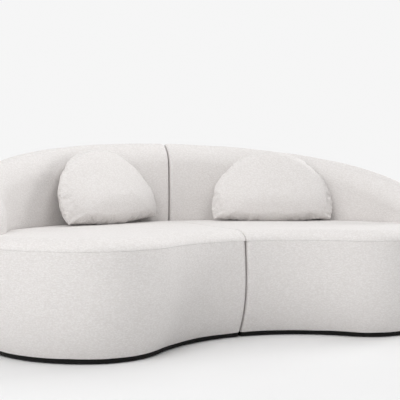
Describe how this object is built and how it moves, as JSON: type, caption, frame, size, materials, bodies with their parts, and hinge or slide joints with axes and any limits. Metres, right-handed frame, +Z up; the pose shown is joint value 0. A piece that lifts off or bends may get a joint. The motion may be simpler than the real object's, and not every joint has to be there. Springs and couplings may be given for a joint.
{
  "type": "curved sectional sofa",
  "caption": "Curved kidney-shaped upholstered sofa of mirrored modules with a rolled wrap-around back, recessed plinth and half-moon scatter cushions.",
  "frame": {"origin": "on the floor under the middle of the plan", "axes": "+X along the width to the sitter's left, +Y towards the back, +Z up"},
  "size_m": [2.0514, 1.2342, 0.806],
  "materials": {
    "boucle": "warm off-white boucle",
    "foam": "upholstery foam",
    "fibre_fill": "fibre-filled insert",
    "webbing": "elastic webbing",
    "plywood": "birch plywood",
    "beech": "planed beech",
    "plinth_black": "black lacquered board",
    "glide_nylon": "moulded nylon",
    "connector_steel": "zinc-plated sheet steel",
    "screw_zinc": "zinc-plated"
  },
  "bodies": {
    "left_module": {"left_glides": "glide_nylon", "left_plinth": "plinth_black", "left_plinth_screws": "screw_zinc", "left_base_board": "plywood", "left_joint_panel": "plywood", "left_posts": "beech", "left_front_rail": "plywood", "left_rear_rail": "plywood", "left_cross_rails": "beech", "left_seat_webbing": "webbing", "left_front_padding": "foam", "left_end_padding": "foam", "left_rear_padding": "foam", "left_base_cover": "boucle", "left_seat_foam": "foam", "left_seat_cover": "boucle", "left_back_sole": "plywood", "left_back_ribs": "plywood", "left_back_batten": "plywood", "left_back_bolts": "screw_zinc", "left_back_foam": "foam", "left_back_cover": "boucle", "connector_channels": "connector_steel", "connector_channel_screws": "screw_zinc"},
    "right_module": {"right_glides": "glide_nylon", "right_plinth": "plinth_black", "right_plinth_screws": "screw_zinc", "right_base_board": "plywood", "right_joint_panel": "plywood", "right_posts": "beech", "right_front_rail": "plywood", "right_rear_rail": "plywood", "right_cross_rails": "beech", "right_seat_webbing": "webbing", "right_front_padding": "foam", "right_end_padding": "foam", "right_rear_padding": "foam", "right_base_cover": "boucle", "right_seat_foam": "foam", "right_seat_cover": "boucle", "right_back_sole": "plywood", "right_back_ribs": "plywood", "right_back_batten": "plywood", "right_back_bolts": "screw_zinc", "right_back_foam": "foam", "right_back_cover": "boucle", "connector_tongues": "connector_steel", "connector_tongue_screws": "screw_zinc"},
    "left_cushion": {"left_cushion_insert": "fibre_fill", "left_cushion_cover": "boucle"},
    "right_cushion": {"right_cushion_insert": "fibre_fill", "right_cushion_cover": "boucle"}
  },
  "joints": [
    {"name": "modules_part", "type": "slide", "parent": "left_module", "child": "right_module", "axis": [1, 0, 0], "range_m": [0, 0.5]},
    {"name": "left_cushion_lift", "type": "slide", "parent": "left_module", "child": "left_cushion", "axis": [0.1437, -0.3844, 0.9119], "range_m": [0, 0.4]},
    {"name": "right_cushion_lift", "type": "slide", "parent": "right_module", "child": "right_cushion", "axis": [-0.1895, -0.364, 0.9119], "range_m": [0, 0.4]}
  ]
}
